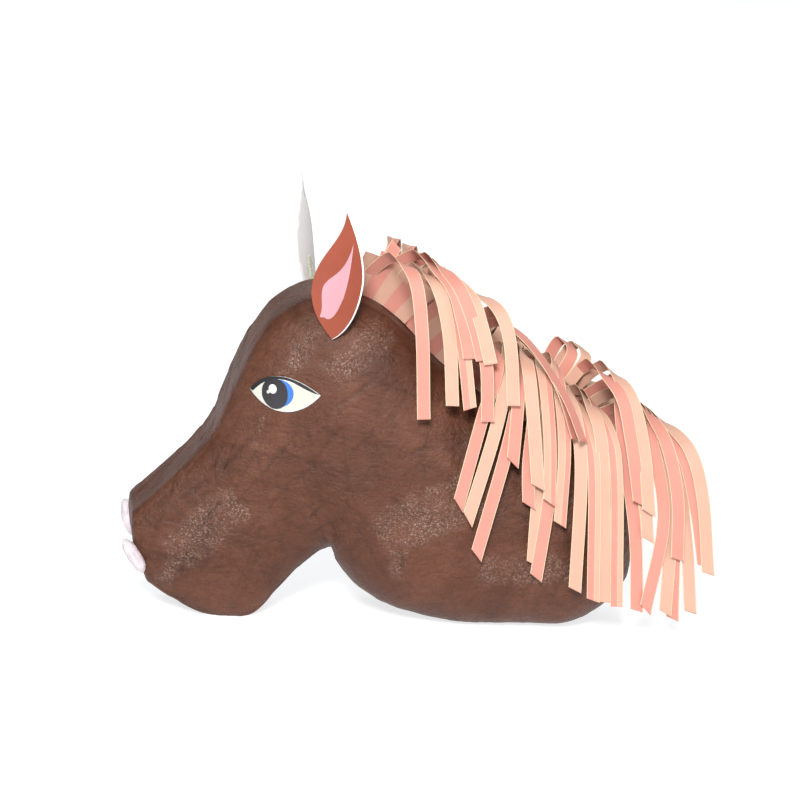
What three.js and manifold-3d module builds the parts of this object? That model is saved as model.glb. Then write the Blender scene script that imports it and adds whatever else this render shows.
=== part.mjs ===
// A horse-head pinata: papier-mache shell halves joined by edge bands, card ears and eyes,
// a curled paper fringe for a mane, and a treat cavity with a hinged fill flap.
// Millimetres, +Z up. The horse faces -X, y = 0 is its middle plane, and the origin is the
// middle of the flat face that the neck rests on.
import * as THREE from 'three';
import { mergeVertices } from 'three/addons/utils/BufferGeometryUtils.js';
import Module from 'manifold-3d';

const wasm = await Module();
wasm.setup();

// ---------------------------------------------------------------- driving dimensions
const WALL = 4;                 // papier-mache wall
const BAND_WIDTH = 64;          // flat edge band that runs all round the head
const FIT = 0.3;                // gap kept between touching pieces
const SHOULDER = 110;           // how far in from the edge the sides go on swelling
const NOSE_SWELL = 55;          // the same, measured back from the nose end
const NECK_SWELL = 75;          // the same, measured in from the neck end
const SWELL_POWER = 2.2;        // roundness of that swelling
const CARD = 1;                 // thickness that stands for glued card and thick paper

// Cross-sections from nose to neck end: top x, top z, bottom x, bottom z, half thickness.
const SECTIONS = [
  [-379, 104, -362, 33, 50],    // nose end
  [-360, 122, -336, 16, 52],
  [-338, 145, -300, 0, 54],     // chin, which touches the ground
  [-319, 165, -258, 0, 57],
  [-303, 188, -232, 28, 60],
  [-295, 214, -212, 52, 63],    // hollow of the face
  [-284, 252, -194, 68, 67],
  [-268, 288, -186, 73, 71],
  [-246, 312, -182, 75, 74],    // forehead
  [-207, 331, -179, 73, 78],    // poll, over the throat notch
  [-160, 323, -172, 56, 82],
  [-125, 302, -150, 32, 86],
  [-80, 259, -110, 12, 90],
  [-30, 224, -50, 0, 92],       // start of the flat that the neck rests on
  [16, 197, 10, 0, 92],
  [56, 179, 55, 0, 90],
  [87, 168, 86, 12, 88],
  [104, 160, 110, 32, 86],
  [113, 150, 122, 50, 84],      // neck end
];
const END_BOW = { nose: 8, neck: 6, noseFade: 45, neckFade: 60 };   // how far the end faces bulge
const RING_STEPS = [0, 0.08, 0.36, 1];        // places across a shoulder that carry a vertex

const FLAP = { left: -110, right: -20, bottom: 62, top: 150, gap: 0.6 };

const HANGER = { x: -67, length: 64, width: 22, holeRadius: 5, holeSpread: 34 };

const EAR = { height: 126, width: 52, glueWidth: 6, glueDepth: 20, glueHeight: 34, glueFoot: 3 };
const MANE = {
  start: -160,                  // crest x of the first strip
  end: 98,                      // crest x of the last strip
  stripWidth: 11.4,
  cardGap: 5,                   // extra space between one card's strips and the next card's
  foot: 1.4,                    // the card's lower edge stands this far off the crest
  cut: 8,                       // where the strips part from the card's uncut root
  root: 14,                     // uncut root of each fringe card
  rise: 64,                     // how far the strips stand up off the crest
  reach: 96,                    // how far from the middle plane they hang
};

const COLOURS = {
  shell: 0x6f4a3c,
  band: 0x5c3e33,
  board: 0xb08a5c,
  earBrown: 0xaa523e,
  earBack: 0xdbd7d4,
  tape: 0xfbf7e2,
  eye: 0xfcfdf5,
  nostril: 0xf0e4e8,
  pink: 0xe0948a,
  peach: 0xe6b496,
};

// ---------------------------------------------------------------- solids and meshes
function paint(colour, roughness) {
  return new THREE.MeshStandardMaterial({ color: colour, roughness, metalness: 0 });
}

function toSolid(geometry) {
  const bare = geometry.clone();
  bare.deleteAttribute('normal');
  bare.deleteAttribute('uv');
  const merged = mergeVertices(bare, 1e-4);
  return new wasm.Manifold(new wasm.Mesh({
    numProp: 3,
    vertProperties: new Float32Array(merged.attributes.position.array),
    triVerts: new Uint32Array(merged.index.array),
  }));
}

function toGeometry(solid) {
  const mesh = solid.getMesh();
  const geometry = new THREE.BufferGeometry();
  geometry.setAttribute('position', new THREE.Float32BufferAttribute(mesh.vertProperties, 3));
  geometry.setIndex(Array.from(mesh.triVerts));
  geometry.computeVertexNormals();
  return geometry;
}

function boxSolid(low, high) {
  const box = new THREE.BoxGeometry(high[0] - low[0], high[1] - low[1], high[2] - low[2]);
  box.translate((low[0] + high[0]) / 2, (low[1] + high[1]) / 2, (low[2] + high[2]) / 2);
  return toSolid(box);
}

// A prism whose outline lies in the x-z plane and which runs from y = from to y = to.
function sidePrism(outline, from, to) {
  const shape = new THREE.Shape(outline.map(([x, z]) => new THREE.Vector2(x, z)));
  const prism = new THREE.ExtrudeGeometry(shape, { depth: to - from, bevelEnabled: false });
  prism.rotateX(Math.PI / 2);
  prism.translate(0, to, 0);
  return toSolid(prism);
}

function piece(name, solid, material) {
  const mesh = new THREE.Mesh(toGeometry(solid), material);
  mesh.name = name;
  return mesh;
}

// ---------------------------------------------------------------- the head's outer shape
const topCurve = new THREE.CatmullRomCurve3(
  SECTIONS.map(([x, z, , , half]) => new THREE.Vector3(x, half, z)), false, 'catmullrom', 0.5);
const bottomCurve = new THREE.CatmullRomCurve3(
  SECTIONS.map(([, , x, z, half]) => new THREE.Vector3(x, half, z)), false, 'catmullrom', 0.5);

// Where along the head the sections are taken: closer together where the ends round over.
const LAST = SECTIONS.length - 1;
const STOPS = [0, 0.12, 0.35, 0.7, 1];
for (let stop = 1.5; stop < 10; stop += 0.5) {
  STOPS.push(stop);
}
for (let stop = 10; stop < LAST - 1; stop += 1) {
  STOPS.push(stop);
}
STOPS.push(LAST - 1, LAST - 0.6, LAST - 0.3, LAST - 0.1, LAST);

function swell(depth, width) {
  const share = Math.min(depth / width, 1);
  return (1 - (1 - share) ** SWELL_POWER) ** (1 / SWELL_POWER);
}

const middles = STOPS.map((stop) => topCurve.getPoint(stop / LAST)
  .add(bottomCurve.getPoint(stop / LAST)).multiplyScalar(0.5).setY(0));
const travelled = [0];
for (let i = 1; i < middles.length; i += 1) {
  travelled.push(travelled[i - 1] + middles[i].distanceTo(middles[i - 1]));
}

// The head as one solid, every surface moved in by inset (or out, where it is negative).
function headSolid(inset) {
  const total = travelled[travelled.length - 1];
  const rings = STOPS.map((stop, i) => {
    const along = middles[Math.min(i + 1, middles.length - 1)].clone()
      .sub(middles[Math.max(i - 1, 0)]).normalize();
    const shift = along.clone().multiplyScalar(inset * (1 - (2 * travelled[i]) / total));
    const top = topCurve.getPoint(stop / LAST).add(shift);
    const bottom = bottomCurve.getPoint(stop / LAST).add(shift);
    const half = top.y - inset;
    const down = bottom.clone().sub(top).setY(0);
    const length = down.length() - 2 * inset;
    down.normalize();
    const start = top.clone().setY(0).addScaledVector(down, inset);
    const shoulder = Math.min(SHOULDER, 0.46 * length);
    const ends = swell(travelled[i], NOSE_SWELL) * swell(total - travelled[i], NECK_SWELL);
    const side = [];
    for (const share of RING_STEPS) {
      side.push([share * shoulder, swell(share, 1)]);
    }
    for (const share of [...RING_STEPS].reverse()) {
      side.push([length - share * shoulder, swell(share, 1)]);
    }
    const bow = END_BOW.neck * Math.max(0, 1 - (total - travelled[i]) / END_BOW.neckFade)
      - END_BOW.nose * Math.max(0, 1 - travelled[i] / END_BOW.noseFade);
    return side.map(([depth, full]) => {
      const share = depth / length;
      const at = start.clone().addScaledVector(down, depth)
        .addScaledVector(along, 4 * share * (1 - share) * bow);
      const out = BAND_WIDTH / 2 + (half - BAND_WIDTH / 2) * full * ends;
      return [at.x, out, Math.max(at.z, inset)];
    });
  });
  const perSide = rings[0].length;
  const positions = [];
  for (const ring of rings) {
    for (const [x, y, z] of ring) {
      positions.push(x, -y, z);
    }
    for (const [x, y, z] of ring) {
      positions.push(x, y, z);
    }
  }
  const at = (ring, side, step) => (ring * 2 + side) * perSide + step;
  const faces = [];
  const quad = (a, b, c, d) => faces.push(a, b, c, a, c, d);
  for (let r = 0; r < rings.length - 1; r += 1) {
    for (let s = 0; s < perSide - 1; s += 1) {
      quad(at(r, 0, s), at(r, 0, s + 1), at(r + 1, 0, s + 1), at(r + 1, 0, s));
      quad(at(r, 1, s), at(r + 1, 1, s), at(r + 1, 1, s + 1), at(r, 1, s + 1));
    }
    quad(at(r, 0, 0), at(r + 1, 0, 0), at(r + 1, 1, 0), at(r, 1, 0));
    const low = perSide - 1;
    quad(at(r, 0, low), at(r, 1, low), at(r + 1, 1, low), at(r + 1, 0, low));
  }
  const end = rings.length - 1;
  for (let s = 0; s < perSide - 1; s += 1) {
    quad(at(0, 0, s), at(0, 1, s), at(0, 1, s + 1), at(0, 0, s + 1));
    quad(at(end, 0, s), at(end, 0, s + 1), at(end, 1, s + 1), at(end, 1, s));
  }
  const geometry = new THREE.BufferGeometry();
  geometry.setAttribute('position', new THREE.Float32BufferAttribute(positions, 3));
  geometry.setIndex(faces);
  return toSolid(geometry);
}

const outside = headSolid(0);
const inside = headSolid(WALL);
const skin = headSolid(-FIT);   // what a piece laid on the outside is cut back to
const shell = outside.subtract(inside);

// ---------------------------------------------------------------- shell halves and bands
const FAR_OFF = 900;            // past the end of anything
const seam = BAND_WIDTH / 2;

function makeSides() {
  const near = shell.intersect(
    boxSolid([-FAR_OFF, -FAR_OFF, -FAR_OFF], [FAR_OFF, -seam - FIT / 2, FAR_OFF]));
  const far = shell.intersect(
    boxSolid([-FAR_OFF, seam + FIT / 2, -FAR_OFF], [FAR_OFF, FAR_OFF, FAR_OFF]));
  const hole = boxSolid([FLAP.left, seam + 10, FLAP.bottom], [FLAP.right, FAR_OFF, FLAP.top]);
  const leaf = boxSolid(
    [FLAP.left + FLAP.gap, seam + 10, FLAP.bottom + FLAP.gap],
    [FLAP.right - FLAP.gap, FAR_OFF, FLAP.top - 2 * FLAP.gap]);
  return {
    near,
    far: far.subtract(hole),
    flap: far.intersect(leaf),
  };
}

// The band is cut across at five places, seen as directions from a hub inside the cheek.
const HUB = { x: -170, z: 150 };
const BAND_CUTS = { neckTop: 0.4, poll: 98, lip: 211.4, throat: 262.5, neckFoot: 338.8 };

function wedge(fromDegrees, toDegrees) {
  const gap = 0.06;             // degrees left open at each cut
  const from = THREE.MathUtils.degToRad(fromDegrees + gap);
  const to = THREE.MathUtils.degToRad(toDegrees - gap);
  const outline = [[HUB.x, HUB.z]];
  const corners = 4;
  for (let i = 0; i <= corners; i += 1) {
    const angle = from + ((to - from) * i) / corners;
    outline.push([HUB.x + FAR_OFF * Math.cos(angle), HUB.z + FAR_OFF * Math.sin(angle)]);
  }
  return sidePrism(outline, -seam + FIT / 2, seam - FIT / 2);
}

// Two upright holes through the crest, one on each side of the mane and of the board under it.
function hangingHoles() {
  const drills = [-1, 1].map((side) => {
    const drill = new THREE.CylinderGeometry(HANGER.holeRadius, HANGER.holeRadius, 80, 12);
    drill.rotateX(Math.PI / 2);
    drill.translate(HANGER.x, (side * HANGER.holeSpread) / 2, crestPoint(HANGER.x).z);
    return toSolid(drill);
  });
  return drills[0].add(drills[1]);
}

// ---------------------------------------------------------------- the crest, where the mane grows
const crestLine = STOPS.map((stop) => topCurve.getPoint(stop / LAST).setY(0));

// The crest's height at x, on the straight stretches between sections.
function crestPoint(x) {
  for (let i = 1; i < crestLine.length; i += 1) {
    const a = crestLine[i - 1];
    const b = crestLine[i];
    if (b.x > x && a.x <= x) {
      const share = (x - a.x) / (b.x - a.x);
      return new THREE.Vector3(x, 0, a.z + (b.z - a.z) * share);
    }
  }
  return crestLine[crestLine.length - 1].clone();
}

// The angle the crest falls at, smoothed over a hand's breadth.
function crestTilt(x) {
  const a = crestPoint(x - 25);
  const b = crestPoint(Math.min(x + 25, MANE.end + 4));
  return Math.atan2(a.z - b.z, b.x - a.x);
}

// ---------------------------------------------------------------- inner hanger board
function makeHanger() {
  const layer = headSolid(WALL + FIT).subtract(headSolid(WALL + FIT + 3));
  const at = crestPoint(HANGER.x);
  const block = new THREE.BoxGeometry(HANGER.length, HANGER.width, 40);
  block.rotateY(crestTilt(HANGER.x));
  block.translate(at.x, 0, at.z);
  return layer.intersect(toSolid(block));
}

// ---------------------------------------------------------------- ears
// Leaf outline: x across, y up from the root, in shares of the ear's width and height.
function earShape() {
  const shape = new THREE.Shape();
  shape.moveTo(0.02, 0);
  shape.bezierCurveTo(-0.3, 0.12, -0.48, 0.24, -0.46, 0.42);
  shape.bezierCurveTo(-0.42, 0.66, 0.12, 0.78, 0.16, 1);
  shape.bezierCurveTo(0.34, 0.86, 0.52, 0.66, 0.52, 0.5);
  shape.bezierCurveTo(0.52, 0.26, 0.3, 0.08, 0.02, 0);
  return shape;
}

function stand(geometry, place) {
  geometry.rotateY(place.lean);
  geometry.rotateX(place.splay);
  geometry.rotateZ(place.turn);
  geometry.translate(place.at[0], place.at[1], place.at[2]);
  return toSolid(geometry).subtract(skin);
}

function makeEar(place) {
  const flat = new THREE.ExtrudeGeometry(earShape(), {
    depth: 1, bevelEnabled: false, curveSegments: 6 });
  flat.scale(EAR.width, EAR.height, CARD);
  flat.translate(0, 0, -CARD / 2);
  if (place.back < 0) {
    flat.rotateY(Math.PI);      // the far ear is the near one's mirror image
  }
  flat.rotateX(Math.PI / 2);
  return stand(flat, place);
}

// The ridge of glue that holds an ear up, between its back and the head.
function makeEarGlue(place) {
  const back = CARD / 2 + FIT;
  const ridge = new THREE.BoxGeometry(EAR.glueWidth, EAR.glueDepth, EAR.glueHeight);
  ridge.translate(0, place.back * (back + EAR.glueDepth / 2), EAR.glueFoot + EAR.glueHeight / 2);
  return stand(ridge, place);
}

const NEAR_EAR = { at: [-196, -70, 296], lean: 0.06, splay: 0.03, turn: -0.45, back: 1 };
const FAR_EAR = { at: [-212, 67, 306], lean: -0.1, splay: -0.05, turn: 1.15, back: -1 };

// ---------------------------------------------------------------- things laid on the skin
const lifted = headSolid(-FIT - CARD);

function layOn(outline, side) {
  const reach = side < 0 ? sidePrism(outline, -FAR_OFF, -seam) : sidePrism(outline, seam, FAR_OFF);
  return lifted.subtract(skin).intersect(reach);
}

function eyeOutline() {
  const shape = new THREE.Shape();
  shape.moveTo(-271, 244);
  shape.bezierCurveTo(-256, 264, -232, 264, -203, 239);
  shape.bezierCurveTo(-220, 220, -248, 210, -271, 244);
  return shape.getPoints(6).slice(0, -1).map((p) => [p.x, p.y]);
}

const NEAR_NOSTRIL = [-377, -36, 64];
const FAR_NOSTRIL = [-379, 36, 76];

function makeNostril(place) {
  const dab = new THREE.SphereGeometry(1, 14, 10);
  dab.scale(7, 13, 19);
  dab.rotateY(-0.3);
  dab.translate(...place);
  return toSolid(dab).subtract(skin);
}

// ---------------------------------------------------------------- mane
// A flat strip with square edges, swept along a path and kept level from edge to edge.
function stripSolid(path, width, thickness) {
  const positions = [];
  const wide = new THREE.Vector3(1, 0, 0);
  path.forEach((p, i) => {
    const ahead = path[Math.min(i + 1, path.length - 1)].clone()
      .sub(path[Math.max(i - 1, 0)]);
    const thick = ahead.cross(wide).normalize();
    for (const [w, t] of [[-1, -1], [1, -1], [1, 1], [-1, 1]]) {
      const corner = p.clone().addScaledVector(wide, (w * width) / 2)
        .addScaledVector(thick, (t * thickness) / 2);
      positions.push(corner.x, corner.y, corner.z);
    }
  });
  const faces = [0, 2, 1, 0, 3, 2];
  const last = (path.length - 1) * 4;
  faces.push(last, last + 1, last + 2, last, last + 2, last + 3);
  for (let i = 0; i < path.length - 1; i += 1) {
    for (let c = 0; c < 4; c += 1) {
      const a = i * 4 + c;
      const b = i * 4 + ((c + 1) % 4);
      faces.push(a, b, b + 4, a, b + 4, a + 4);
    }
  }
  const geometry = new THREE.BufferGeometry();
  geometry.setAttribute('position', new THREE.Float32BufferAttribute(positions, 3));
  geometry.setIndex(faces);
  return toSolid(geometry);
}

// One strip: it stands up off the crest, arches over to its side and hangs.
function maneStrip(rootX, hangX, side, endZ) {
  const root = crestPoint(rootX);
  const tilt = crestTilt(rootX);
  const up = new THREE.Vector3(Math.sin(tilt), 0, Math.cos(tilt));
  const apex = root.clone().addScaledVector(up, MANE.rise);
  const over = hangX - apex.x;
  const out = (share) => side * MANE.reach * share;
  const shoulderZ = apex.z - 34;
  const curve = new THREE.CatmullRomCurve3([
    root.clone().addScaledVector(up, MANE.cut).setY(side * 1.2),
    root.clone().addScaledVector(up, MANE.rise * 0.6).setY(side * 3),
    new THREE.Vector3(apex.x + over * 0.25, out(0.3), apex.z),
    new THREE.Vector3(apex.x + over * 0.7, out(0.78), apex.z - 6),
    new THREE.Vector3(hangX, out(1), shoulderZ),
    new THREE.Vector3(hangX, out(1.03), (shoulderZ + endZ) / 2),
    new THREE.Vector3(hangX, out(1.03), endZ),
  ]);
  return stripSolid(curve.getPoints(12), MANE.stripWidth, CARD);
}

// The uncut root that joins a card's strips, standing on the crest.
function maneRoot(fromX, toX, side) {
  const foot = [];
  const head = [];
  const steps = Math.ceil((toX - fromX) / 12);
  for (let i = 0; i <= steps; i += 1) {
    const x = fromX + ((toX - fromX) * i) / steps;
    const tilt = crestTilt(x);
    const at = crestPoint(x);
    foot.push([at.x + MANE.foot * Math.sin(tilt), at.z + MANE.foot * Math.cos(tilt)]);
    head.push([at.x + MANE.root * Math.sin(tilt), at.z + MANE.root * Math.cos(tilt)]);
  }
  const near = side < 0;
  return sidePrism([...foot, ...head.reverse()], near ? -2 : 0.6, near ? -0.6 : 2);
}

const HANG_START = -112;          // x of the first hanging strip's edge
const HANG_END = 192;             // x of the last hanging strip's edge

function endHeight(hangX, side) {
  const share = THREE.MathUtils.clamp((hangX + 95) / 190, 0, 1);
  const near = 24 + 190 * (1 - share) ** 1.3;
  const far = Math.max(near, crestPoint(Math.min(hangX, MANE.end)).z - 45);
  return side < 0 ? near : far;
}

function makeManeCard(index, count, strips, side) {
  const rootSpan = (MANE.end - MANE.start) / count;
  const hangSpan = (HANG_END - HANG_START) / count;
  const rootFrom = MANE.start + rootSpan * index;
  const rootTo = rootFrom + rootSpan - MANE.cardGap / 2;
  let card = maneRoot(rootFrom, rootTo, side);
  for (let i = 0; i < strips; i += 1) {
    const share = (i + 0.5) / strips;
    const rootX = rootFrom + (rootSpan - MANE.cardGap) * share;
    const hangX = HANG_START + hangSpan * index + (hangSpan - MANE.cardGap) * share;
    card = card.add(maneStrip(rootX, hangX, side, endHeight(hangX, side)));
  }
  return card;
}

// ---------------------------------------------------------------- the assembly
const group = new THREE.Group();
const shellPaint = paint(COLOURS.shell, 0.5);
const bandPaint = paint(COLOURS.band, 0.5);

const sides = makeSides();
group.add(piece('near_side_shell', sides.near, shellPaint));
group.add(piece('far_side_shell', sides.far, shellPaint));
group.add(piece('fill_flap', sides.flap, paint(COLOURS.shell, 0.55)));

const bandCut = BAND_CUTS;
const crestBand = shell.intersect(wedge(bandCut.neckTop, bandCut.poll)).subtract(hangingHoles());
group.add(piece('crest_band', crestBand, bandPaint));
group.add(piece('face_band', shell.intersect(wedge(bandCut.poll, bandCut.lip)), bandPaint));
group.add(piece('jaw_band', shell.intersect(wedge(bandCut.lip, bandCut.throat)), bandPaint));
group.add(piece('neck_base_band', shell.intersect(wedge(bandCut.throat, bandCut.neckFoot)), bandPaint));
group.add(piece('neck_end_band', shell.intersect(wedge(bandCut.neckFoot, 360 + bandCut.neckTop)), bandPaint));
group.add(piece('hanger_board', makeHanger(), paint(COLOURS.board, 0.9)));

group.add(piece('near_ear', makeEar(NEAR_EAR), paint(COLOURS.earBrown, 0.45)));
group.add(piece('far_ear', makeEar(FAR_EAR), paint(COLOURS.earBack, 0.6)));
group.add(piece('near_ear_glue', makeEarGlue(NEAR_EAR), paint(COLOURS.tape, 0.3)));
group.add(piece('far_ear_glue', makeEarGlue(FAR_EAR), paint(COLOURS.tape, 0.3)));
group.add(piece('near_eye', layOn(eyeOutline(), -1), paint(COLOURS.eye, 0.4)));
group.add(piece('far_eye', layOn(eyeOutline(), 1), paint(COLOURS.eye, 0.4)));
group.add(piece('near_nostril', makeNostril(NEAR_NOSTRIL), paint(COLOURS.nostril, 0.6)));
group.add(piece('far_nostril', makeNostril(FAR_NOSTRIL), paint(COLOURS.nostril, 0.6)));

const NEAR_CARDS = 6;
const FAR_CARDS = 3;
for (let i = 0; i < NEAR_CARDS; i += 1) {
  const colour = i % 2 ? COLOURS.peach : COLOURS.pink;
  group.add(piece(`mane_fringe_near_${i + 1}`, makeManeCard(i, NEAR_CARDS, 3, -1), paint(colour, 0.6)));
}
for (let i = 0; i < FAR_CARDS; i += 1) {
  const colour = i % 2 ? COLOURS.pink : COLOURS.peach;
  group.add(piece(`mane_fringe_far_${i + 1}`, makeManeCard(i, FAR_CARDS, 6, 1), paint(colour, 0.6)));
}

export default group;
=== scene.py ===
# A papier-mache horse-head pinata: painted paper skin, card ears and eyes, a striped
# paper fringe for its mane, and a hinged fill flap on its far side.
import math
import bmesh
import bpy
import numpy as np
from mathutils import Matrix, Vector, geometry, noise
from mathutils.bvhtree import BVHTree


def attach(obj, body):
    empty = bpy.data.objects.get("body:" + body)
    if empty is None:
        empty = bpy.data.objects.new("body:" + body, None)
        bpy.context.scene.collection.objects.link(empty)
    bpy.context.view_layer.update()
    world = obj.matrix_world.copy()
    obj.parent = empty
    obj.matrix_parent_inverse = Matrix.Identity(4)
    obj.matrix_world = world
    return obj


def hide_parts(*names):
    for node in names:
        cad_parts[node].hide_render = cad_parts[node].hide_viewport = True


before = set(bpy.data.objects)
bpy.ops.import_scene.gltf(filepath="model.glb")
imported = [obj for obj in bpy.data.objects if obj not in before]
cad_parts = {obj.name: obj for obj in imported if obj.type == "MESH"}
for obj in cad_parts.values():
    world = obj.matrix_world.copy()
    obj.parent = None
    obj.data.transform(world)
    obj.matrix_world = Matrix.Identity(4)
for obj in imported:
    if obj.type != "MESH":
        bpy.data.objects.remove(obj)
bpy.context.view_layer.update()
MM = 0.001
rng = np.random.default_rng(11)

# ------------------------------------------------------------------ camera, light and floor
AZIMUTH = math.radians(-8)
ELEVATION = math.radians(16)
ROLL = math.radians(4)
TARGET = Vector((-0.100, 0, 0.194))
DISTANCE = 2.5


def add_camera():
    forward = Vector((-math.sin(AZIMUTH) * math.cos(ELEVATION),
                      math.cos(AZIMUTH) * math.cos(ELEVATION), -math.sin(ELEVATION)))
    level = Vector((math.cos(AZIMUTH), math.sin(AZIMUTH), 0))
    over = level.cross(forward)
    right = level * math.cos(ROLL) + over * math.sin(ROLL)
    up = over * math.cos(ROLL) - level * math.sin(ROLL)
    data = bpy.data.cameras.new("camera")
    data.lens = 112.5
    data.sensor_width = 36
    data.shift_x = -15 / 800
    data.shift_y = 24 / 800
    camera = bpy.data.objects.new("camera", data)
    place = Matrix((right, up, -forward)).transposed().to_4x4()
    place.translation = TARGET - forward * DISTANCE
    camera.matrix_world = place
    bpy.context.scene.collection.objects.link(camera)
    bpy.context.scene.camera = camera


def add_light(name, place, aim, size, power):
    data = bpy.data.lights.new(name, "AREA")
    data.shape = "RECTANGLE"
    data.size, data.size_y = size
    data.energy = power
    light = bpy.data.objects.new(name, data)
    light.location = place
    way = Vector(aim) - Vector(place)
    light.rotation_euler = way.to_track_quat("-Z", "Y").to_euler()
    bpy.context.scene.collection.objects.link(light)


def add_stage():
    world = bpy.data.worlds.new("studio")
    world.use_nodes = True
    background = world.node_tree.nodes["Background"]
    background.inputs["Color"].default_value = (0.97, 0.985, 1, 1)
    background.inputs["Strength"].default_value = 0.28
    bpy.context.scene.world = world
    add_light("key", (-0.7, -2.6, 1.9), (-0.1, 0, 0.2), (0.6, 0.6), 125)
    add_light("fill", (1.7, -1.8, 1.2), (0, 0, 0.15), (1.2, 1.4), 14)
    add_light("rim", (0.2, 2.0, 1.9), (0, 0, 0.3), (2.0, 1.0), 22)
    add_light("backdrop", (0, 4.5, 2.0), (0, 4.5, 0), (6, 3), 60)
    mesh = bpy.data.meshes.new("floor")
    side, ways = 9, 24
    edge = np.linspace(-side, side, ways + 1)
    points = [(x, y, 0) for y in edge for x in edge]
    row = ways + 1
    faces = [(j * row + i, j * row + i + 1, (j + 1) * row + i + 1, (j + 1) * row + i)
             for j in range(ways) for i in range(ways)]
    mesh.from_pydata(points, [], faces)
    floor = bpy.data.objects.new("floor", mesh)
    bpy.context.scene.collection.objects.link(floor)
    mesh.materials.append(floor_material())


# ------------------------------------------------------------------ materials
class Nodes:
    """A material's node tree, with short calls for the nodes used here."""

    def __init__(self, name):
        self.material = bpy.data.materials.new(name)
        self.material.use_nodes = True
        self.tree = self.material.node_tree
        self.shader = self.tree.nodes["Principled BSDF"]
        self.place = self.tree.nodes.new("ShaderNodeTexCoord").outputs["Object"]

    def link(self, a, b):
        self.tree.links.new(a, b)

    def feed(self, node, **values):
        """Sets a node's sockets by name; a value that is another node's output is linked."""
        for name, value in values.items():
            socket = node.inputs[name.replace("_", " ")]
            if isinstance(value, bpy.types.NodeSocket):
                self.link(value, socket)
            else:
                socket.default_value = value

    def add(self, kind, **values):
        node = self.tree.nodes.new("ShaderNode" + kind)
        self.feed(node, **values)
        return node

    def set(self, **values):
        self.feed(self.shader, **values)

    def stretched(self, scale, turn=(0, 0, 0)):
        return self.add("Mapping", Scale=scale, Rotation=turn, Vector=self.place).outputs["Vector"]

    def noise(self, scale, detail=3.0, rough=0.55, place=None, warp=0.0):
        node = self.add("TexNoise", Scale=scale, Detail=detail, Roughness=rough,
                        Distortion=warp, Vector=place or self.place)
        return node.outputs["Fac"]

    def ramp(self, value, stops):
        node = self.add("ValToRGB", Fac=value)
        ramp = node.color_ramp
        while len(ramp.elements) < len(stops):
            ramp.elements.new(0.5)
        for element, (at, colour) in zip(ramp.elements, stops):
            element.position = at
            element.color = (*colour, 1)
        return node.outputs["Color"]

    def mix(self, share, a, b, way="MIX"):
        node = self.add("Mix", Factor=share)
        node.data_type = "RGBA"
        node.blend_type = way
        for socket, value in (("A", a), ("B", b)):
            place = [i for i in node.inputs if i.name == socket and i.type == "RGBA"][0]
            if isinstance(value, tuple):
                place.default_value = (*value, 1)
            else:
                self.link(value, place)
        return [o for o in node.outputs if o.type == "RGBA"][0]

    def span(self, value, low, high, from_low=0.3, from_high=0.7):
        node = self.add("MapRange", From_Min=from_low, From_Max=from_high, To_Min=low,
                        To_Max=high, Value=value)
        return node.outputs["Result"]

    def attribute(self, name, output="Color"):
        node = self.add("Attribute")
        node.attribute_name = name
        return node.outputs[output]

    def times(self, a, b):
        node = self.add("Math")
        node.operation = "MULTIPLY"
        self.link(a, node.inputs[0])
        self.link(b, node.inputs[1])
        return node.outputs["Value"]

    def bump(self, height, depth, under=None, strength=1.0):
        node = self.add("Bump", Distance=depth, Strength=strength, Height=height)
        if under:
            self.feed(node, Normal=under)
        return node.outputs["Normal"]

    def colour(self, value):
        self.set(Base_Color=value)

    def rough(self, value):
        self.set(Roughness=value)

    def normal(self, value):
        self.set(Normal=value)


def floor_material():
    m = Nodes("studio_floor")
    m.colour(m.ramp(m.noise(3, 2), [(0.3, (0.36, 0.365, 0.37)), (0.7, (0.38, 0.385, 0.39))]))
    m.set(Roughness=0.9, Emission_Color=(0.97, 0.985, 1, 1), Emission_Strength=0.76)
    m.normal(m.bump(m.noise(180, 2), 0.0002, strength=0.2))
    return m.material


def papier_material():
    """Brown paint over paper strips: matt in most places, glossy and pebbled where the skin's
    "shade" attribute has alpha, with a painted sheen and small painted pale glints there. The
    attribute's colour multiplies in painted shade."""
    m = Nodes("painted_papier_mache")
    patches = m.noise(17, 4, 0.6, warp=0.6)
    strokes = m.noise(1, 5, 0.6, m.stretched((45, 80, 110), (0.5, 0.5, 0.9)), warp=1.5)
    base = m.ramp(patches, [(0.3, (0.070, 0.021, 0.009)), (0.52, (0.104, 0.034, 0.016)),
                            (0.72, (0.136, 0.048, 0.025))])
    tone = m.ramp(strokes, [(0.3, (0.80, 0.77, 0.74)), (0.5, (1, 1, 1)), (0.8, (1, 1, 1))])
    fine = m.noise(420, 3, 0.65)
    speck = m.ramp(fine, [(0.3, (0.74, 0.71, 0.68)), (0.55, (1, 1, 1)), (1, (1, 1, 1))])
    painted = m.mix(0.9, m.mix(1.0, base, tone, "MULTIPLY"), speck, "MULTIPLY")
    glossy = m.times(m.attribute("shade", "Alpha"), m.span(m.noise(30, 3), 0.35, 1.0, 0.35, 0.6))
    # Painted sheen: inside the glossy patches the brown is lifted towards a lighter brown.
    painted = m.mix(m.span(glossy, 0.0, 0.2, 0.0, 1.0), painted, (0.215, 0.118, 0.083))
    # Painted highlights: small pale glints mixed into the colour inside the glossy patches.
    glint = m.times(glossy, m.span(m.noise(560, 3, 0.6, warp=0.8), 0.0, 0.8, 0.53, 0.64))
    painted = m.mix(glint, painted, (0.36, 0.25, 0.205))
    # The skin's "shade" attribute multiplies in painted shade and a warmer band tint.
    m.colour(m.mix(1.0, painted, m.attribute("shade"), "MULTIPLY"))
    m.rough(m.span(glossy, 0.46, 0.2, 0.0, 1.0))
    m.set(Specular_IOR_Level=0.29)
    wide = m.bump(strokes, 0.0016)
    pitted = m.bump(m.noise(240, 4, 0.6), 0.004, wide, m.span(glossy, 0.3, 0.75, 0.0, 1.0))
    m.normal(m.bump(fine, 0.0022, pitted, m.span(glossy, 0.35, 0.7, 0.0, 1.0)))
    return m.material


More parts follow.
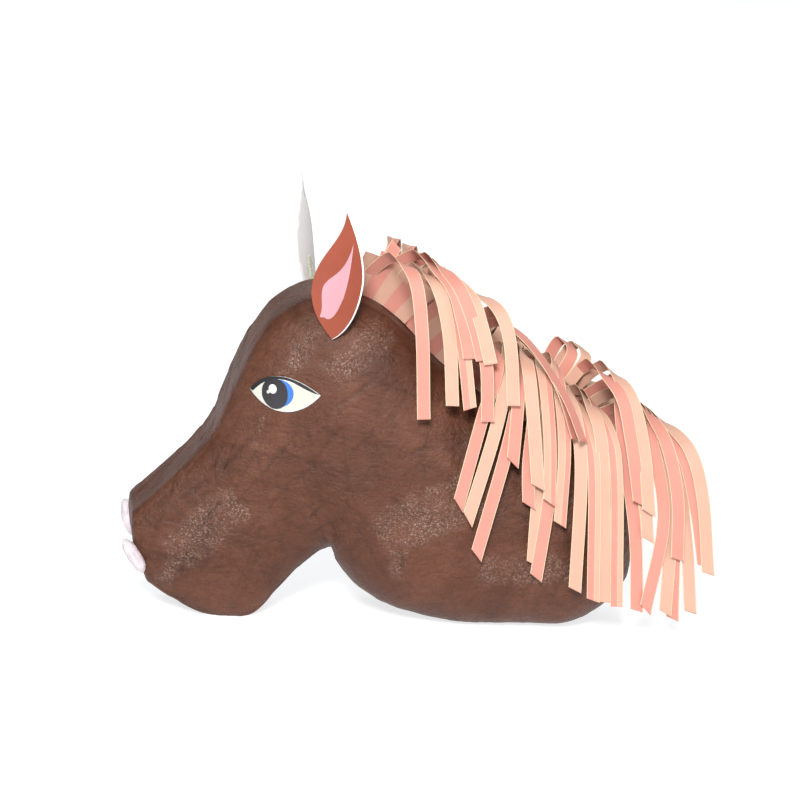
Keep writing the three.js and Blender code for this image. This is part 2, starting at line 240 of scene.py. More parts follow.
def bare_paper_material(name, light, dark):
    m = Nodes(name)
    fibres = m.noise(1, 5, 0.6, m.stretched((900, 500, 160), (0.2, 0.6, 0)))
    m.colour(m.ramp(fibres, [(0.3, dark), (0.7, light)]))
    m.rough(m.span(fibres, 0.8, 0.95))
    m.normal(m.bump(m.noise(400, 4), 0.0003, strength=0.6))
    return m.material


def card_material(name, colour, rough=0.5, grain=0.05, sheen=0.4):
    """Smooth printed card: its colour drifts a little and its surface is faintly fibrous."""
    m = Nodes(name)
    dark = tuple(c * (1 - grain) for c in colour)
    drift = m.noise(45, 3)
    fibre = m.noise(1, 4, 0.6, m.stretched((1400, 1400, 260)))
    base = m.ramp(drift, [(0.3, dark), (0.7, colour)])
    m.colour(m.mix(grain, base, m.ramp(fibre, [(0.3, dark), (0.7, (1, 1, 1))]), "MULTIPLY"))
    m.rough(m.span(fibre, rough - 0.05, rough + 0.06))
    m.set(Specular_IOR_Level=sheen)
    m.normal(m.bump(fibre, 0.00006, strength=0.5))
    return m.material


def glue_material():
    m = Nodes("dried_glue")
    m.colour(m.ramp(m.noise(120, 3), [(0.3, (0.66, 0.60, 0.44)), (0.7, (0.76, 0.72, 0.58))]))
    m.rough(m.span(m.noise(200, 3), 0.15, 0.35))
    m.set(Transmission_Weight=0.25, Subsurface_Weight=0.2, IOR=1.48)
    m.normal(m.bump(m.noise(260, 3), 0.0008))
    return m.material


def nostril_material():
    m = Nodes("pale_dab")
    m.colour(m.ramp(m.noise(90, 4), [(0.3, (0.56, 0.46, 0.50)), (0.7, (0.72, 0.66, 0.69))]))
    m.rough(m.span(m.noise(140, 3), 0.5, 0.75))
    m.normal(m.bump(m.noise(420, 4), 0.0006))
    return m.material


PINK = (0.59, 0.248, 0.193)
PEACH = (0.59, 0.345, 0.252)
CREAM = (0.70, 0.545, 0.365)
EAR_BROWN = (0.30, 0.062, 0.030)
EAR_PINK = (0.54, 0.285, 0.32)
WHITE = (0.70, 0.70, 0.69)
LASH = (0.012, 0.011, 0.013)
IRIS = (0.020, 0.017, 0.021)
BLUE = (0.04, 0.16, 0.50)
SCLERA = (0.52, 0.52, 0.45)


# ------------------------------------------------------------------ meshes
def make_object(name, points, faces, materials, slots=None):
    mesh = bpy.data.meshes.new(name)
    mesh.from_pydata([tuple(p) for p in points], [], faces)
    for material in materials:
        mesh.materials.append(material)
    if slots is not None:
        mesh.polygons.foreach_set("material_index", np.asarray(slots, dtype=np.int32))
    mesh.polygons.foreach_set("use_smooth", np.full(len(mesh.polygons), True))
    mesh.update()
    made = bpy.data.objects.new(name, mesh)
    bpy.context.scene.collection.objects.link(made)
    return made


def settle(made):
    """Turns an object's modifiers into plain mesh."""
    graph = bpy.context.evaluated_depsgraph_get()
    mesh = bpy.data.meshes.new_from_object(made.evaluated_get(graph))
    made.modifiers.clear()
    made.data = mesh


def stand_in(made, body, slot, *nodes):
    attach(made, body)
    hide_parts(*nodes)


# ------------------------------------------------------------------ the head's surface
SECTIONS = np.array([  # top x, top z, bottom x, bottom z, half thickness, in mm
    (-379, 104, -362, 33, 50), (-360, 122, -336, 16, 52), (-338, 145, -300, 0, 54),
    (-319, 165, -258, 0, 57), (-303, 188, -232, 28, 60), (-293, 214, -212, 52, 63),
    (-279, 252, -194, 68, 67), (-263, 287, -186, 73, 71), (-243, 312, -182, 75, 74),
    (-207, 331, -179, 73, 78), (-160, 323, -172, 56, 82), (-125, 302, -150, 32, 86),
    (-80, 259, -110, 12, 90), (-30, 224, -50, 0, 92), (16, 197, 10, 0, 92),
    (56, 179, 55, 0, 90), (87, 168, 86, 12, 88), (104, 160, 110, 32, 86),
    (113, 150, 122, 50, 84)], dtype=float)
LAST = len(SECTIONS) - 1
BAND = 32.0                    # half the width of the flat edge band
ALONG_STEP = 2.0
PER_SIDE = 156
ACROSS = 30
HUB = (-170.0, 150.0)          # the band's cuts are seen as directions from here
ZONES = (("crest_band", 0.4, 98), ("face_band", 98, 211.4), ("jaw_band", 211.4, 262.5),
         ("neck_base_band", 262.5, 338.8), ("neck_end_band", 338.8, 360.4))
FLAP = {"left": -110, "right": -20, "bottom": 62, "top": 150}
HOLE = {"x": -67, "y": 17, "radius": 5}
SKIN = 3.6                     # thickness of the paper skin


def through(points, stops):
    """Points on the smooth curve through the given ones; stop 2.5 is halfway from 2 to 3."""
    points = np.asarray(points, dtype=float)
    longer = np.vstack([2 * points[0] - points[1], points, 2 * points[-1] - points[-2]])
    first = np.minimum(np.asarray(stops).astype(int), len(points) - 2)
    share = (stops - first)[:, None]
    p0, p1, p2, p3 = (longer[first + k] for k in range(4))
    t0, t1 = 0.5 * (p2 - p0), 0.5 * (p3 - p1)
    return (p1 + t0 * share + (3 * (p2 - p1) - 2 * t0 - t1) * share ** 2
            + (2 * (p1 - p2) + t0 + t1) * share ** 3)


def swell(share):
    return (1 - (1 - np.minimum(share, 1)) ** 2.2) ** (1 / 2.2)


def row_curve(columns, stops):
    return through(SECTIONS[:, columns], stops)


def head_rings():
    dense = np.linspace(0, LAST, 5000)
    middle = (row_curve([0, 1], dense) + row_curve([2, 3], dense)) / 2
    travelled = np.concatenate([[0], np.cumsum(np.linalg.norm(np.diff(middle, axis=0), axis=1))])
    total = travelled[-1]
    half_way = [0.0]
    while half_way[-1] < total / 2:
        half_way.append(half_way[-1] + min(ALONG_STEP, 0.5 + 0.1 * half_way[-1]))
    front = np.array(half_way[:-1])
    at = np.concatenate([front, total - front[::-1]])
    stops = np.interp(at, travelled, dense)
    tops, bottoms = row_curve([0, 1], stops), row_curve([2, 3], stops)
    halves = row_curve([4], stops)[:, 0]
    after, before = np.clip(stops + 0.02, 0, LAST), np.clip(stops - 0.02, 0, LAST)
    along = (row_curve([0, 1], after) + row_curve([2, 3], after)
             - row_curve([0, 1], before) - row_curve([2, 3], before))
    along /= np.linalg.norm(along, axis=1)[:, None]
    rings = []
    for i, distance in enumerate(at):
        down = bottoms[i] - tops[i]
        length = np.linalg.norm(down)
        down = down / length
        shoulder = min(110, 0.46 * length)
        ends = swell(distance / 55) * swell((total - distance) / 75)
        bow = 6 * max(0, 1 - (total - distance) / 60) - 4 * max(0, 1 - distance / 45)
        depth = length * (1 - np.cos(np.linspace(0, math.pi, 500))) / 2
        near_edge = np.minimum(depth, length - depth)
        out = BAND + (halves[i] - BAND) * swell(near_edge / shoulder) * ends
        walked = np.concatenate([[0], np.cumsum(np.hypot(np.diff(depth), np.diff(out)))])
        even = np.linspace(0, walked[-1], PER_SIDE)
        depth, out = np.interp(even, walked, depth), np.interp(even, walked, out)
        share = depth / length
        flat = tops[i] + down * depth[:, None] + along[i] * (4 * share * (1 - share) * bow)[:, None]
        rings.append(np.column_stack([flat[:, 0], out, np.maximum(flat[:, 1], 0)]))
    return rings


def head_mesh():
    """The whole skin as one welded mesh: points, quads, and each quad's zone name."""
    points, loops = [], []

    def add(rows):
        start = len(points)
        points.extend(rows)
        return list(range(start, start + len(rows)))

    rings = head_rings()
    inner = np.linspace(-BAND, BAND, ACROSS + 1)[1:-1]
    for ring in rings:
        near = [(x, -y, z) for x, y, z in ring]
        low = [(ring[-1][0], y, ring[-1][2]) for y in inner]
        far = [(x, y, z) for x, y, z in ring[::-1]]
        high = [(ring[0][0], y, ring[0][2]) for y in inner[::-1]]
        loops.append(add(near + low + far + high))
    quads, zones = [], []
    count = len(loops[0])
    low_end = PER_SIDE - 1 + ACROSS
    for a, b in zip(loops, loops[1:]):
        for k in range(count):
            n = (k + 1) % count
            quads.append((a[k], b[k], b[n], a[n]))
            if k < PER_SIDE - 1:
                zones.append("near")
            elif low_end <= k < low_end + PER_SIDE - 1:
                zones.append("far")
            else:
                zones.append("band")
    for loop, flip in ((loops[0], False), (loops[-1], True)):
        near = loop[:PER_SIDE]
        far = loop[low_end:low_end + PER_SIDE][::-1]
        low = loop[PER_SIDE:low_end]
        high = loop[low_end + PER_SIDE:][::-1]
        columns = [near]
        for c in range(ACROSS - 1):
            share = (c + 1) / ACROSS
            middle = [tuple(np.array(points[n]) * (1 - share) + np.array(points[f]) * share)
                      for n, f in zip(near[1:-1], far[1:-1])]
            columns.append([high[c]] + add(middle) + [low[c]])
        columns.append(far)
        for left, right in zip(columns, columns[1:]):
            for r in range(PER_SIDE - 1):
                quad = (left[r], left[r + 1], right[r + 1], right[r])
                quads.append(quad[::-1] if flip else quad)
                zones.append("band")
    return np.array(points), np.array(quads), zones


def normals_of(points, quads):
    corners = points[quads]
    flat = np.cross(corners[:, 2] - corners[:, 0], corners[:, 3] - corners[:, 1])
    total = np.zeros_like(points)
    for k in range(4):
        np.add.at(total, quads[:, k], flat)
    return total / np.maximum(np.linalg.norm(total, axis=1), 1e-12)[:, None]


def relaxed(points, quads, weights, times):
    """Rounds off the places where the weights are near one."""
    edges = np.vstack([quads[:, [k, (k + 1) % 4]] for k in range(4)])
    edges = np.vstack([edges, edges[:, ::-1]])
    count = np.bincount(edges[:, 0], minlength=len(points))[:, None]
    for _ in range(times):
        total = np.zeros_like(points)
        np.add.at(total, edges[:, 0], points[edges[:, 1]])
        points = points + weights[:, None] * 0.6 * (total / count - points)
    return points


def noise_at(points, size, offset=(0, 0, 0)):
    shift = Vector(offset)
    return np.array([noise.noise(Vector(p) / size + shift) for p in points])


def ease(value):
    value = np.clip(value, 0, 1)
    return value * value * (3 - 2 * value)


# Creases in the paper on the two sides: x, z from, x, z to, depth, half width (mm).
CREASES = (
    (-262, 200, -300, 150, 0.6, 2.0), (-300, 150, -342, 118, 0.5, 2.0),
    (-292, 128, -322, 84, 0.7, 1.8), (-322, 84, -330, 40, 0.6, 1.8),
    (-196, 128, -206, 112, 0.8, 1.8), (-178, 118, -214, 84, 0.4, 1.8),
    (-150, 262, -196, 226, 0.6, 1.8), (-130, 180, -88, 205, 0.5, 1.8),
    (-120, 96, -112, 60, 0.7, 2.2), (-20, 140, 30, 110, 0.5, 2.0), (40, 130, 70, 60, 0.4, 2.0),
)
# Glossy patches of paint on the two sides, where the skin material also paints in a sheen and
# glints: x, z of the middle, half length, half width (mm) and how far the length leans from level
# (degrees).
GLOSSY = ((-228, 276, 34, 13, 62), (-168, 284, 42, 19, 38), (-306, 98, 50, 27, 48),
          (-92, 128, 60, 30, 28), (8, 74, 52, 20, 4), (-210, 112, 24, 5, 38),
          (-262, 196, 26, 6, 78), (-118, 78, 26, 12, 80), (-340, 52, 26, 12, 60))
SCRAPS = 260                   # torn pieces of paper that show in the skin


def torn(u, v, half_long, half_wide, soft):
    """One inside a torn patch, zero outside it."""
    return ease((half_long - u) / soft) * ease((half_wide - v) / soft)


def raised(points, normals):
    """How far each skin point stands off the smooth head, and its paint: painted shade and a warmer
    band tint in the colour, and gloss in the alpha.
    """
    height = 0.8 * noise_at(points, 62) + 0.3 * noise_at(points, 26, (9, 4, 2))
    warp = 2.2 * noise_at(points, 11, (3, 8, 1)) + 1.2 * noise_at(points, 4.5, (7, 1, 5))
    shade = np.ones(len(points))
    for _ in range(SCRAPS):
        centre = points[rng.integers(len(points))]
        close = np.linalg.norm(points - centre, axis=1)
        normal = normals[np.argmin(close)]
        tangent = np.cross(normal, rng.normal(size=3))
        tangent /= np.linalg.norm(tangent)
        across = np.cross(normal, tangent)
        half_long, half_wide = rng.uniform(42, 78), rng.uniform(12, 21)
        thick = rng.uniform(0.15, 0.45)
        place = points - centre
        u = np.abs(place @ tangent) + warp
        v = np.abs(place @ across) + warp
        facing = (np.abs(place @ normal) < 30) & (normals @ normal > 0.2)
        inside = torn(u, v, half_long, half_wide, 1.8)
        height += np.where(facing, thick * inside, 0)
        # Painted shade: a dark line just outside each scrap's long torn edges, where the raised
        # edge would shade the skin.
        rim = np.exp(-((half_wide - v + 1.0) / 1.4) ** 2) * ease((half_long - u) / 1.8)
        shade -= np.where(facing, 0.32 * thick * rim, 0)
    # The edge band is laid over the sides: a dark line of painted shade at its fold, and its torn
    # edge further in, raised, with a line of painted shade just outside it.
    out = np.abs(points[:, 1])
    edge = out - (BAND + 9 + 2.4 * noise_at(points, 16, (2, 2, 9)) + warp)
    height += 0.8 * ease(-edge / 2.0)
    shade -= 0.14 * np.exp(-((edge - 1.0) / 1.6) ** 2)
    fold = out - BAND - 2.5 - 0.4 * warp
    shade -= 0.22 * np.exp(-(fold / 1.7) ** 2)
    on_side = out > BAND
    flat = points[:, [0, 2]] + warp[:, None] * 0.8
    for x1, z1, x2, z2, depth, wide in CREASES:
        a, b = np.array((x1, z1)), np.array((x2, z2))
        share = np.clip((flat - a) @ (b - a) / ((b - a) @ (b - a)), 0, 1)
        off = np.linalg.norm(flat - a - share[:, None] * (b - a), axis=1)
        fade = np.sin(math.pi * np.clip(share, 0.02, 0.98)) ** 0.5 * on_side
        height += (-1.5 * np.exp(-(off / wide) ** 2)
                   + 0.5 * np.exp(-((off - 2.2 * wide) / wide) ** 2)) * depth * fade
        # Painted shade in the crease's hollow.
        shade -= 0.45 * depth * np.exp(-(off / (0.8 * wide)) ** 2) * fade
    gloss = np.full(len(points), 0.06)
    for x, z, half_long, half_wide, lean in GLOSSY:
        cos, sin = math.cos(math.radians(lean)), math.sin(math.radians(lean))
        place = flat - (x, z)
        u = np.abs(place[:, 0] * cos + place[:, 1] * sin) + 2 * warp
        v = np.abs(place[:, 1] * cos - place[:, 0] * sin) + 2 * warp
        gloss = np.maximum(gloss, torn(u, v, half_long, half_wide, 12.0) * on_side)
    eye = np.hypot((points[:, 0] + 238) / 46, (points[:, 2] - 240) / 32)
    calm = 0.25 + 0.75 * ease((eye - 0.75) / 0.5)
    shade = 1 - (1 - np.clip(shade, 0.35, 1)) * calm
    # A painted offset to reflected light: the band's green and blue are lowered a little, against
    # the grey sheen it catches at a grazing angle.
    band = ease((BAND + 3 - out) / 4)[:, None] * (0.0, 0.05, 0.08)
    paint = np.column_stack([shade[:, None] * (1 - band), gloss])
    return (height - np.mean(height)) * calm, paint


def build_skin():
    """The finished skin: points, their paint (painted shade and gloss), quads, each quad's zone,
    and the smooth head.
    """
    base, quads, zones = head_mesh()
    faces_out = normals_of(base, quads)
    centre = base.mean(axis=0)
    if np.mean(np.sum((base - centre) * faces_out, axis=1)) < 0:
        quads = quads[:, ::-1]
    nose = np.linalg.norm(base[:, [0, 2]] - np.array((-370, 70)), axis=1)
    sharp = ease((58 - nose) / 20) + 0.8 * ease((base[:, 0] - 96) / 14)
    rounded = relaxed(base, quads, np.clip(sharp, 0, 1), 14)
    rounded = relaxed(rounded, quads, np.full(len(base), 0.5), 2)
    normals = normals_of(rounded, quads)
    height, paint = raised(rounded, normals)
    skin = rounded + normals * height[:, None]
    skin[:, 2] = np.maximum(skin[:, 2], 0.0)
    smooth_tree = BVHTree.FromPolygons([Vector(p) for p in rounded], [tuple(q) for q in quads])
    middle = base[quads].mean(axis=1)
    angle = np.degrees(np.arctan2(middle[:, 2] - HUB[1], middle[:, 0] - HUB[0])) % 360
    angle = np.where(angle < 0.4, angle + 360, angle)
    names = np.array(zones, dtype=object)
    for name, low, high in ZONES:
        names[(names == "band") & (angle >= low) & (angle < high)] = name
    return skin, paint, quads, names, smooth_tree


def patch(name, skin, paint, quads, materials):
    used, faces = np.unique(quads, return_inverse=True)
    faces = faces.reshape(quads.shape)
    made = make_object(name, skin[used] * MM, [tuple(f) for f in faces.tolist()], materials)
    layer = made.data.attributes.new("shade", "FLOAT_COLOR", "POINT")
    layer.data.foreach_set("color", paint[used].ravel())
    return made


def cut_sides(made, keep_inside, grow):
    """Cuts along the flap's four edges, then keeps either the flap or the rest."""
    left, right = (FLAP["left"] - grow) * MM, (FLAP["right"] + grow) * MM
    bottom, top = (FLAP["bottom"] - grow) * MM, (FLAP["top"] + 2 * grow) * MM
    mesh = bmesh.new()
    mesh.from_mesh(made.data)
    for spot, way in (((left, 0, 0), (1, 0, 0)), ((right, 0, 0), (1, 0, 0)),
                      ((0, 0, bottom), (0, 0, 1)), ((0, 0, top), (0, 0, 1))):
        bmesh.ops.bisect_plane(mesh, geom=mesh.verts[:] + mesh.edges[:] + mesh.faces[:],
                               plane_co=spot, plane_no=way, dist=1e-7)
    gone = []
    for face in mesh.faces:
        spot = face.calc_center_median()
        within = left < spot.x < right and bottom < spot.z < top
        if within != keep_inside:
            gone.append(face)
    bmesh.ops.delete(mesh, geom=gone, context="FACES")
    mesh.to_mesh(made.data)
    mesh.free()


def thicken(made):
    solid = made.modifiers.new("skin", "SOLIDIFY")
    solid.thickness = SKIN * MM
    solid.offset = -1
    solid.material_offset = 1
    solid.material_offset_rim = 1
    settle(made)


def drill(made):
    for side in (-1, 1):
        bpy.ops.mesh.primitive_cylinder_add(
            vertices=28, radius=HOLE["radius"] * MM, depth=0.08,
            location=(HOLE["x"] * MM, side * HOLE["y"] * MM, 0.25))
        tool = bpy.context.object
        cut = made.modifiers.new("hole", "BOOLEAN")
        cut.operation = "DIFFERENCE"
        cut.solver = "EXACT"
        cut.object = tool
        settle(made)
        bpy.data.objects.remove(tool)


def add_skin():
    skin, paint, quads, names, smooth_tree = build_skin()
    outer = papier_material()
    inner = bare_paper_material("bare_paper", (0.42, 0.30, 0.19), (0.27, 0.18, 0.11))
    pieces = {"near_side_shell": "near", "far_side_shell": "far"}
    for name, _, _ in ZONES:
        pieces[name] = name
    for node, zone in pieces.items():
        made = patch("paper_" + node, skin, paint, quads[names == zone], [outer, inner])
        if zone == "far":
            cut_sides(made, False, 0)
        thicken(made)
        if node == "crest_band":
            drill(made)
        stand_in(made, "head", "papier_mache", node)
    flap = patch("paper_fill_flap", skin, paint, quads[names == "far"], [outer, inner])
    cut_sides(flap, True, -0.6)
    thicken(flap)
    stand_in(flap, "flap", "papier_mache", "fill_flap")
    return smooth_tree


# ------------------------------------------------------------------ flat printed card
def bezier_outline(start, *curves, steps=14):
    """An outline from a start point and (handle, handle, end) curves."""
    made = [np.array(start, dtype=float)]
    for one, two, end in curves:
        a, b, c, d = made[-1], np.array(one), np.array(two), np.array(end)
        for i in range(1, steps + 1):
            t = i / steps
            made.append(a * (1 - t) ** 3 + 3 * b * t * (1 - t) ** 2 + 3 * c * t * t * (1 - t)
                        + d * t ** 3)
    if np.linalg.norm(made[0] - made[-1]) < 1e-6:
        made = made[:-1]
    return np.array(made)


def filled(outline, step):
    """The outline's inside as points and triangles, with a grid of points to bend at."""
    low, high = outline.min(axis=0), outline.max(axis=0)
    grid = [(x, y) for x in np.arange(low[0] + step / 2, high[0], step)
            for y in np.arange(low[1] + step / 2, high[1], step)]
    inside = []
    for x, y in grid:
        a, b = outline, np.roll(outline, -1, axis=0)
        crossing = (a[:, 1] > y) != (b[:, 1] > y)
        with np.errstate(divide="ignore", invalid="ignore"):
            at = a[:, 0] + (y - a[:, 1]) / (b[:, 1] - a[:, 1]) * (b[:, 0] - a[:, 0])
        if np.sum(crossing & (x < at)) % 2:
            if np.min(np.linalg.norm(outline - (x, y), axis=1)) > step * 0.4:
                inside.append((x, y))
    points = [Vector(p) for p in outline.tolist() + inside]
    rim = list(range(len(outline)))
    made = geometry.delaunay_2d_cdt(points, [], [rim], 1, 1e-6)
    return np.array([tuple(v) for v in made[0]]), [tuple(f) for f in made[2]]


def prism(points, faces, back, slot, back_slot):
    """Front triangles plus a copy at the back and a rim, which has the front's slot."""
    count = len(points)
    every = np.vstack([points, back])
    made = [tuple(f) for f in faces] + [tuple(i + count for i in f[::-1]) for f in faces]
    slots = [slot] * len(faces) + [back_slot] * len(faces)
    edges = {}
    for face in faces:
        for a, b in zip(face, face[1:] + face[:1]):
            edges[(a, b)] = (b, a) not in edges
            if not edges[(a, b)]:
                edges[(b, a)] = False
    for (a, b), open_edge in edges.items():
        if open_edge and (b, a) not in edges:
            made.append((b, a, a + count, b + count))
            slots.append(slot)
    return every, made, slots


def join_parts(name, parts, materials):
    points, faces, slots = [], [], []
    for p, f, s in parts:
        start = len(points)
        points.extend(np.asarray(p).tolist())
        faces.extend([tuple(i + start for i in face) for face in f])
        slots.extend(s)
    return make_object(name, np.array(points) * MM, faces, materials, slots)


def circle(cx, cy, rx, ry, count=30):
    turn = np.linspace(0, 2 * math.pi, count, endpoint=False)
    return np.column_stack([cx + rx * np.cos(turn), cy + ry * np.sin(turn)])


def around_faces(rows, around):
    """The quads of a tube whose points come row after row."""
    faces = []
    for j in range(rows - 1):
        for i in range(around):
            n = (i + 1) % around
            a, b = j * around, (j + 1) * around
            faces.append((a + i, a + n, b + n, b + i))
    return faces


# ------------------------------------------------------------------ eyes
EYE = bezier_outline((-271.5, 244), ((-256, 265), (-232, 265), (-203, 238.6)),
                     ((-221, 216.5), (-252, 211), (-271.5, 244)))
LASH_SHAPE = bezier_outline((-271, 244.6), ((-256, 265), (-232, 264.4), (-204, 239)),
                            ((-212, 241.5), (-220, 247), (-229, 252.4)),
                            ((-243, 259), (-256, 257), (-268, 242.6)),
                            ((-269, 242), (-270.6, 243), (-271, 244.6)))
EYE_WHITE = bezier_outline((-269.5, 242.4), ((-256, 258), (-234, 260), (-205.5, 238.4)),
                           ((-222, 218.5), (-251, 213), (-269.5, 242.4)))
EYE_DARK = bezier_outline((-263, 240.5), ((-263.5, 262), (-238, 262), (-238, 241)),
                          ((-238, 226), (-247, 222), (-254, 224.6)),
                          ((-260, 228.5), (-263, 234), (-263, 240.5)))
EYE_BLUE = bezier_outline((-245, 255.5), ((-240, 255.5), (-232.3, 250), (-232.3, 241)),
                          ((-232.3, 232), (-240, 226), (-246, 226)),
                          ((-250, 236), (-250, 246), (-245, 255.5)))
SPARKS = (circle(-252.3, 245.4, 3.8, 5.0), circle(-256.7, 242.2, 1.5, 1.9))
EYE_TILT = 0.095               # radians
PUPIL_BACK = 2.9               # how far back the pupil and its glints sit, mm


def eye_set(outline, back):
    """Turns an eye outline to where the eye sits on the cheek, and to its size."""
    x, z = (outline[:, 0] + 237.5 + back) * 0.965, (outline[:, 1] - 240) * 0.9
    cos, sin = math.cos(EYE_TILT), math.sin(EYE_TILT)
    return np.column_stack([x * cos - z * sin - 237.0, x * sin + z * cos + 240])


def laid(outline, side, tree, lift, step=4.0, back=0.0):
    flat, faces = filled(eye_set(outline, back), step)
    spots = []
    for x, z in flat:
        hit = tree.ray_cast(Vector((x, side * 300, z)), Vector((0, -side, 0)))
        spots.append(hit[0] + hit[1] * lift if hit[0] else Vector((x, side * 60, z)))
    points = np.array(spots)
    if side > 0:
        faces = [f[::-1] for f in faces]
    return points, faces


def add_eyes(smooth_tree):
    mats = [card_material("eye_card_white", WHITE, 0.45, 0.02),
            card_material("eye_white", SCLERA, 0.4, 0.02),
            card_material("eye_dark", IRIS, 0.3, 0.2, 0.6),
            card_material("eye_blue", BLUE, 0.35, 0.06),
            card_material("eye_lash", LASH, 0.3, 0.2, 0.6)]
    for side, node in ((-1, "near_eye"), (1, "far_eye")):
        points, faces = laid(EYE, side, smooth_tree, 1.5)
        back, _ = laid(EYE, side, smooth_tree, 0.4)
        parts = [prism(points, faces, back, 0, 0)]
        layers = [(EYE_WHITE, 1, 0), (EYE_BLUE, 3, PUPIL_BACK), (EYE_DARK, 2, PUPIL_BACK),
                  (LASH_SHAPE, 4, 0), (SPARKS[0], 0, PUPIL_BACK), (SPARKS[1], 1, PUPIL_BACK)]
        for i, (outline, slot, shift) in enumerate(layers):
            spots, tris = laid(outline, side, smooth_tree, 1.56 + 0.07 * i, 3.0, shift)
            parts.append((spots, tris, [slot] * len(tris)))
        made = join_parts("printed_" + node, parts, mats)
        stand_in(made, "head", "eye_card", node)


# ------------------------------------------------------------------ ears
EAR_HIGH = 126.0
EAR_WIDE = 52.0
EAR_LEAF = bezier_outline((0.02, 0), ((-0.3, 0.12), (-0.48, 0.24), (-0.46, 0.42)),
                          ((-0.42, 0.66), (0.06, 0.78), (0.03, 1)),
                          ((0.18, 0.9), (0.5, 0.68), (0.52, 0.5)),
                          ((0.52, 0.26), (0.3, 0.08), (0.02, 0)))
EAR_FLAME = bezier_outline((-0.26, 0.165), ((-0.2, 0.26), (-0.3, 0.3), (-0.26, 0.40)),
                           ((-0.18, 0.50), (0.12, 0.50), (0.22, 0.76)),
                           ((0.21, 0.52), (0.2, 0.42), (0.12, 0.30)),
                           ((0.02, 0.16), (-0.1, 0.14), (-0.16, 0.16)),
                           ((-0.2, 0.17), (-0.22, 0.15), (-0.26, 0.165)))
EAR_STROKE = bezier_outline((0.225, 0.775), ((0.235, 0.6), (0.22, 0.46), (0.135, 0.31)),
                            ((0.185, 0.46), (0.2, 0.58), (0.212, 0.70)),
                            ((0.214, 0.73), (0.218, 0.75), (0.225, 0.775)))
NEAR_EAR = {"at": (-196, -70, 296), "lean": 0.06, "splay": 0.03, "turn": -0.45, "front": -1}
FAR_EAR = {"at": (-202, 67, 306), "lean": -0.08, "splay": -0.155, "turn": 1.18, "front": 1}


def ear_spot(u, v, off, place):
    """A point on the bent leaf: u across, v up (shares), off in mm from its middle."""
    x = -place["front"] * u * EAR_WIDE
    z = v * EAR_HIGH
    cup = 5.0 * (u * 2) ** 2 * (1 - 0.5 * v) - 3.0 * v * v
    y = place["front"] * (off + cup)
    cos, sin = math.cos(place["lean"]), math.sin(place["lean"])
    x, z = x * cos + z * sin, z * cos - x * sin
    cos, sin = math.cos(place["splay"]), math.sin(place["splay"])
    y, z = y * cos - z * sin, y * sin + z * cos
    cos, sin = math.cos(place["turn"]), math.sin(place["turn"])
    x, y = x * cos - y * sin, x * sin + y * cos
    return (x + place["at"][0], y + place["at"][1], z + place["at"][2])


def ear_layer(outline, place, off, step):
    flat, faces = filled(outline * (EAR_WIDE, EAR_HIGH), step)
    points = np.array([ear_spot(x / EAR_WIDE, z / EAR_HIGH, off, place) for x, z in flat])
    return points, faces


def add_ears():
    mats = [card_material("ear_print", EAR_BROWN, 0.4, 0.12),
            card_material("ear_flame", EAR_PINK, 0.4, 0.05),
            card_material("ear_card_edge", (0.85, 0.85, 0.84), 0.6, 0.03),
            card_material("ear_card_back", (0.78, 0.76, 0.75), 0.55, 0.05),
            card_material("ear_stroke", (0.62, 0.33, 0.37), 0.4, 0.04)]
    for node, place in (("near_ear", NEAR_EAR), ("far_ear", FAR_EAR)):
        front, faces = ear_layer(EAR_LEAF, place, 0.7, 5)
        back, _ = ear_layer(EAR_LEAF, place, -0.7, 5)
        parts = [prism(front, faces, back, 2, 3)]
        printed = EAR_LEAF * (0.975, 0.992) + (-0.012, 0.003)
        for outline, slot, off in ((printed, 0, 0.95), (EAR_FLAME, 1, 1.15),
                                   (EAR_STROKE, 4, 1.25)):
            spots, tris = ear_layer(outline, place, off, 4)
            parts.append((spots, tris, [slot] * len(tris)))
        made = join_parts("card_" + node, parts, mats)
        stand_in(made, "head", "ear_card", node)


def add_glue():
    """A lumpy ridge of glue up the back of each ear."""
    mat = glue_material()
    for node, place, half, shift, high in (("near_ear_glue", NEAR_EAR, 3.0, 0.0, 34),
                                           ("far_ear_glue", FAR_EAR, 5.5, 6.0, 42)):
        rows, around = 26, 18
        points = []
        for j in range(rows):
            share = j / (rows - 1)
            v = (2 + high * share) / EAR_HIGH
            full = math.sqrt(max(0.02, 1 - (2 * share - 1) ** 6))
            for i in range(around):
                turn = 2 * math.pi * i / around
                lump = 1 + 0.25 * noise.noise(Vector((math.cos(turn), math.sin(turn), share * 6)))
                wide = half * full * lump * math.cos(turn) + shift
                deep = (1 - 0.7 * share) * 2.4 * full * lump
                off = -1.0 - deep * (1 + math.sin(turn)) * (1 if share < 0.97 else 0.3)
                points.append(ear_spot(wide / EAR_WIDE, v, off, place))
        faces = around_faces(rows, around)
        faces.append(tuple(range(around))[::-1])
        faces.append(tuple((rows - 1) * around + i for i in range(around)))
        made = make_object("lumpy_" + node, np.array(points) * MM, faces, [mat])
        stand_in(made, "head", "glue", node)


# ------------------------------------------------------------------ nostrils
NOSTRILS = (("near_nostril", (-375, -37, 61), -0.6, 1),     # node, place, lean, seed
            ("far_nostril", (-380, 36, 77), -0.25, 5))


